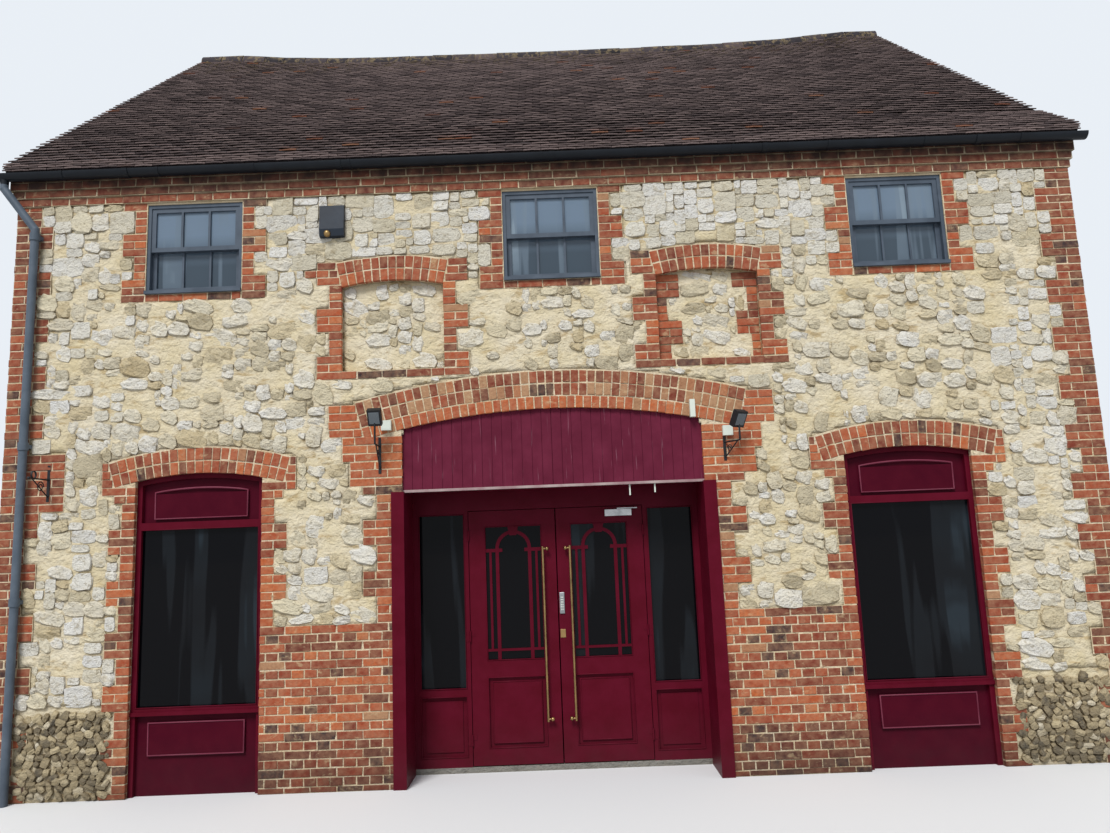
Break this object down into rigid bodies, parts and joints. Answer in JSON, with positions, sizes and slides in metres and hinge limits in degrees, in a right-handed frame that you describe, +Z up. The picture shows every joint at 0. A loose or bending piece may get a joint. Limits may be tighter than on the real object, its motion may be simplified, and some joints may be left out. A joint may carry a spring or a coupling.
{
  "type": "two-storey stone and brick barn-type building with a shopfront",
  "caption": "Gabled rubble-stone and brick building with a tiled roof, an arched entrance with glazed doors, shop windows and sash windows; hollow, for scenes.",
  "frame": {"origin": "middle of the footprint at the lowest ground level, which is the underside of the walls and floor", "axes": "+X to the right along the front, +Y from the front face to the back, +Z up"},
  "size_m": [10.3, 8.683, 9.4464],
  "materials": {
    "rubble": "rough",
    "flint": "rough",
    "concrete": "rough",
    "brick": "rough",
    "tile": "weathered",
    "floor_boards": "plain",
    "rainwater": "satin",
    "pipe": "satin",
    "grey_paint": "painted satin",
    "clear_glass": "clear",
    "maroon_paint": "painted gloss",
    "faded_boards": "weathered paint",
    "brass_metal": "worn",
    "closer_silver": "satin",
    "black_iron": "painted",
    "white_plastic": "matt",
    "box_black": "matt"
  },
  "bodies": {
    "building": {"floor_slab": "concrete", "first_floor": "floor_boards", "front_wall_left": "rubble", "front_wall_right": "rubble", "front_wall_upper": "rubble", "back_wall": "rubble", "left_gable_wall": "rubble", "right_gable_wall": "rubble", "corner_quoins": "brick", "doorway_brickwork": "brick", "door_arch": "brick", "brick_panels": "brick", "flint_panels": "flint", "shop_window_brickwork": "brick", "upper_window_brickwork": "brick", "blind_window_brickwork": "brick", "blind_window_infill": "rubble", "cornice": "brick", "roof_front_slope": "tile", "roof_back_slope": "tile", "ridge_tiles": "tile", "gutters": "rainwater", "gutter_brackets": "rainwater", "downpipes": "pipe", "upper_window_frames": "grey_paint", "top_sashes": "grey_paint", "bottom_sashes": "grey_paint", "upper_window_glass": "clear_glass", "shop_window_frames": "maroon_paint", "shop_head_panels": "maroon_paint", "shop_risers": "maroon_paint", "shop_window_glass": "clear_glass", "door_pilasters": "maroon_paint", "door_beam": "maroon_paint", "boarded_head": "faded_boards", "door_frame": "maroon_paint", "sidelight_panels": "maroon_paint", "sidelight_glass": "clear_glass", "sign_bracket": "black_iron", "lamp_brackets": "black_iron", "wall_boxes": "white_plastic", "alarm_box": "box_black"},
    "left_door": {"door_leaf_left": "maroon_paint", "door_glass_left": "clear_glass", "door_handle_left": "brass_metal"},
    "right_door": {"door_leaf_right": "maroon_paint", "door_glass_right": "clear_glass", "door_handle_right": "brass_metal", "door_closer": "closer_silver"}
  },
  "joints": [
    {"name": "left_door_hinge", "type": "hinge", "parent": "building", "child": "left_door", "pos_m": [-0.823, -3.683, 0], "axis": [0, 0, -1], "range_deg": [0, 90]},
    {"name": "right_door_hinge", "type": "hinge", "parent": "building", "child": "right_door", "pos_m": [0.823, -3.683, 0], "axis": [0, 0, 1], "range_deg": [0, 90]}
  ]
}
